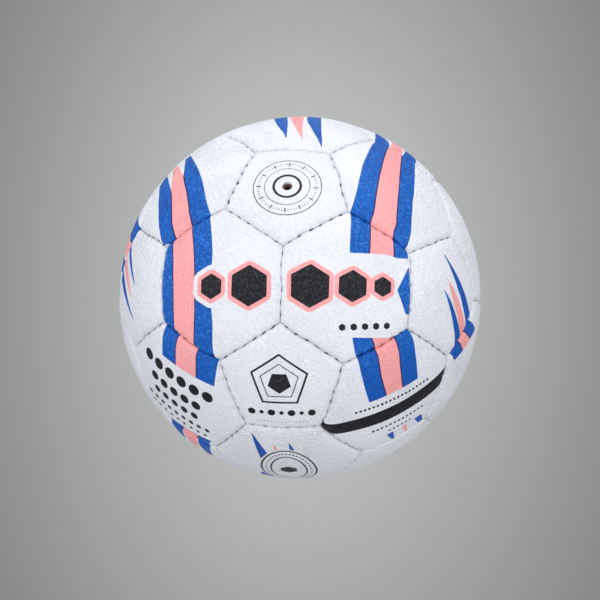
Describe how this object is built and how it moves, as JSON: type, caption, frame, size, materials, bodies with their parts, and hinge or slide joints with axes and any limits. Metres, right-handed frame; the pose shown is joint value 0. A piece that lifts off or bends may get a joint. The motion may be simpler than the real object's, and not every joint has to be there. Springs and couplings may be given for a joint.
{
  "type": "handball",
  "caption": "Hand-stitched ball of leather-like pentagon and hexagon panels over a rubber bladder, with a plug-in needle valve.",
  "frame": {"origin": "centre of the ball", "axes": "+Z out through the valve, the YZ plane is a mirror plane of the panel pattern, and -Y is the front, where the seam between the two front hexagons lies"},
  "size_m": [0.15, 0.15, 0.15],
  "materials": {
    "skin": "fine-grained synthetic leather, satin white",
    "lining": "woven cloth laminate",
    "thread": "waxed polyester thread",
    "bladder": "moulded latex, dull",
    "valve": "moulded rubber, dull brown"
  },
  "bodies": {
    "ball": {"valve_panel": "skin", "pentagon_panel_02": "skin", "pentagon_panel_03": "skin", "pentagon_panel_04": "skin", "pentagon_panel_05": "skin", "pentagon_panel_06": "skin", "pentagon_panel_07": "skin", "pentagon_panel_08": "skin", "pentagon_panel_09": "skin", "pentagon_panel_10": "skin", "pentagon_panel_11": "skin", "pentagon_panel_12": "skin", "hexagon_panel_01": "skin", "hexagon_panel_02": "skin", "hexagon_panel_03": "skin", "hexagon_panel_04": "skin", "hexagon_panel_05": "skin", "hexagon_panel_06": "skin", "hexagon_panel_07": "skin", "hexagon_panel_08": "skin", "hexagon_panel_09": "skin", "hexagon_panel_10": "skin", "hexagon_panel_11": "skin", "hexagon_panel_12": "skin", "hexagon_panel_13": "skin", "hexagon_panel_14": "skin", "hexagon_panel_15": "skin", "hexagon_panel_16": "skin", "hexagon_panel_17": "skin", "hexagon_panel_18": "skin", "hexagon_panel_19": "skin", "hexagon_panel_20": "skin", "pentagon_linings_upper": "lining", "pentagon_linings_lower": "lining", "hexagon_linings_ring_1": "lining", "hexagon_linings_ring_2": "lining", "hexagon_linings_ring_3": "lining", "hexagon_linings_ring_4": "lining", "pentagon_seam_threads_upper": "thread", "pentagon_seam_threads_lower": "thread", "hexagon_seam_threads_upper": "thread", "hexagon_seam_threads_lower": "thread", "bladder": "bladder", "valve_patch": "lining", "valve_housing": "valve"},
    "core": {"valve_core": "valve"}
  },
  "joints": [
    {"name": "core_slide", "type": "slide", "parent": "ball", "child": "core", "axis": [0, 0, 1], "range_m": [0, 0.016]}
  ]
}
